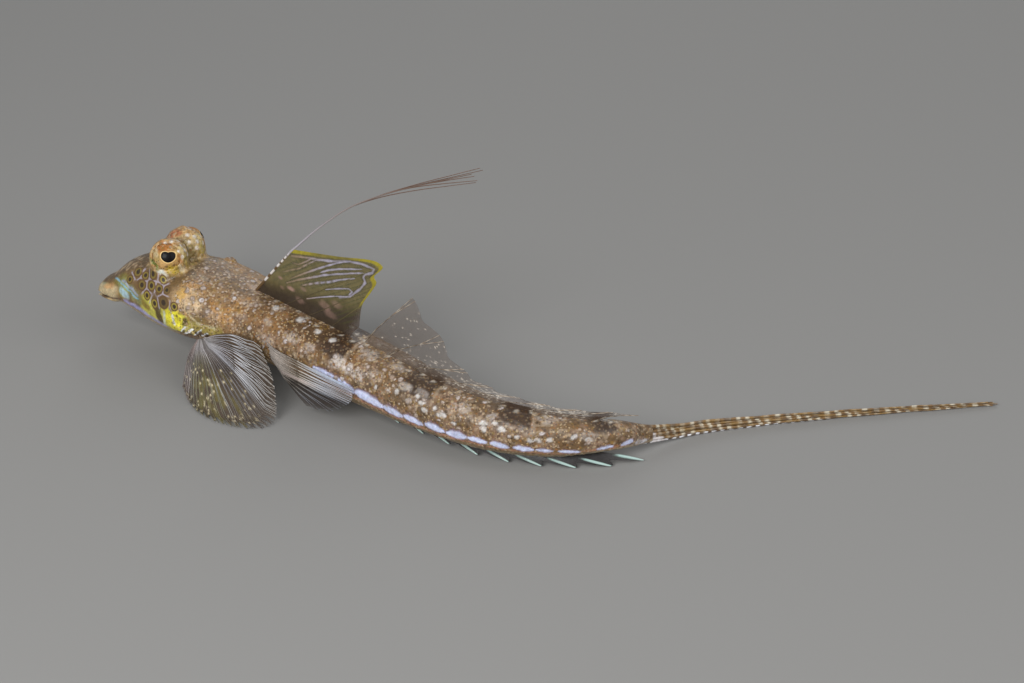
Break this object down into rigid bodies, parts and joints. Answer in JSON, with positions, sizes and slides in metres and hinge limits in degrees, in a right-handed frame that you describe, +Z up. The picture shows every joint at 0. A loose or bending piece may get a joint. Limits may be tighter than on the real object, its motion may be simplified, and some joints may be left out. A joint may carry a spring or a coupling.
{
  "type": "callionymus neptunius (neptune's dragonet, a sea fish)",
  "caption": "Life-size still model of a small bottom-living dragonet fish, bent in rest on its spread pelvic fins, with a raised first dorsal fin and a long tail fin.",
  "frame": {"origin": "centre of the bounding box's bottom face, on the floor that the fish rests on", "axes": "+Z up, -X the way the head faces, -Y the fish's left side, which is the pictured one"},
  "size_m": [0.1406, 0.0489, 0.0449],
  "materials": {
    "head_skin": "moist satin skin, mottled olive and tan, with ringed spots and blue lines on the cheek and a yellow throat",
    "body_skin": "moist satin skin, sandy brown mottle with dark saddles, pale granules and a row of blue-white spots",
    "eye": "wet gloss, mottled orange iris, thin gold ring and black pupil",
    "olive_fin": "thin satin membrane, olive with lilac-white stripes and a yellow margin",
    "pale_fin": "thin clear membrane with white branched rays and small brown and yellow spots",
    "dark_fin": "thin dark membrane with pale blue-green ray tips",
    "banded_fin": "brown folded rays barred with cream, white dashes on the lower edge"
  },
  "bodies": {
    "root": {"head": "head_skin", "eye_left": "eye", "eye_right": "eye", "trunk_front": "body_skin", "trunk_rear": "body_skin", "tail_stalk": "body_skin", "dorsal_fin_first": "olive_fin", "dorsal_fin_second": "pale_fin", "anal_fin": "dark_fin", "caudal_fin": "banded_fin", "pectoral_fin_left": "pale_fin", "pectoral_fin_right": "pale_fin", "pelvic_fin_left": "pale_fin", "pelvic_fin_right": "pale_fin"}
  },
  "joints": []
}
